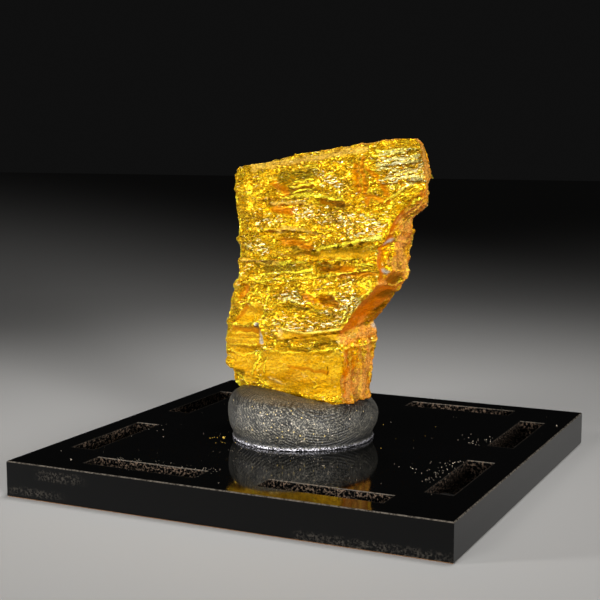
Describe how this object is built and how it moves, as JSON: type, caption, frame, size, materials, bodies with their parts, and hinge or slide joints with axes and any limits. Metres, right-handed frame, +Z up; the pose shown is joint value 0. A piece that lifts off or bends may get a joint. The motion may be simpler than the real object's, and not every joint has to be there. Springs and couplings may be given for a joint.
{
  "type": "orpiment mineral specimen on a display base",
  "caption": "Golden foliated orpiment slab standing on edge in a lump of dark mineral tack on a square black display base with slots along its sides.",
  "frame": {"origin": "middle of the display base's underside", "axes": "+Z up; +X along the base's front edge to the right; +Y from the front edge to the back edge"},
  "size_m": [0.0762, 0.0762, 0.0579],
  "materials": {
    "black_acrylic": "polished black acrylic sheet, dusty, with scuffed sawn edges",
    "mineral_tack": "satin dark grey putty with finger marks",
    "orpiment": "golden resinous cleavage layers, orange and salmon on broken edges"
  },
  "bodies": {
    "root": {"display_base": "black_acrylic", "mounting_putty": "mineral_tack", "orpiment_crystal": "orpiment"}
  },
  "joints": []
}
